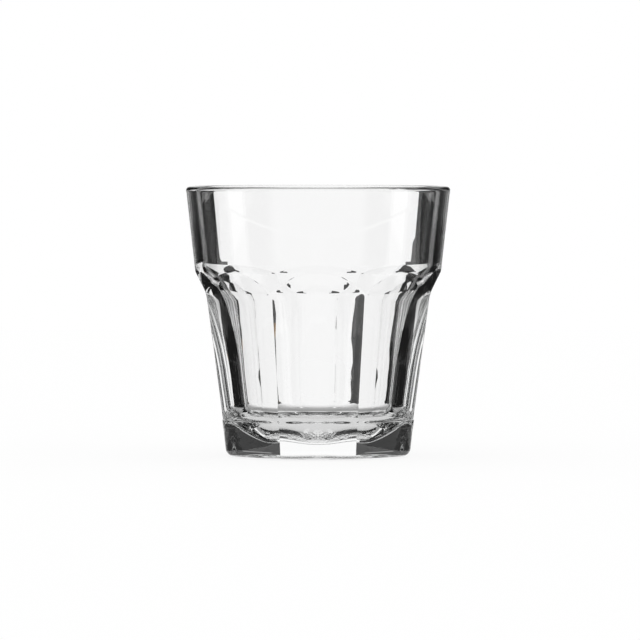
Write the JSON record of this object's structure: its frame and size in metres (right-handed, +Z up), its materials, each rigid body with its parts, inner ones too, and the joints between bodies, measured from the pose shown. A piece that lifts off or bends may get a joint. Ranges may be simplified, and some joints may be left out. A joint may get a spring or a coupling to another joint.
{
  "type": "rocks glass",
  "caption": "Flared rocks glass of pressed clear glass, its lower wall cut in flat panels with arched tops, on a thick faceted heel.",
  "frame": {"origin": "centre of the heel's bearing face, on the table", "axes": "+Z up along the glass's axis, towards the mouth; a panel faces -Y"},
  "size_m": [0.089, 0.089, 0.0906],
  "materials": {
    "clear_glass": "clear pressed soda-lime glass, fire-polished"
  },
  "bodies": {
    "root": {"lip": "clear_glass", "upper_band": "clear_glass", "arch_shoulder": "clear_glass", "panel_wall": "clear_glass", "foot": "clear_glass", "floor": "clear_glass"}
  },
  "joints": []
}
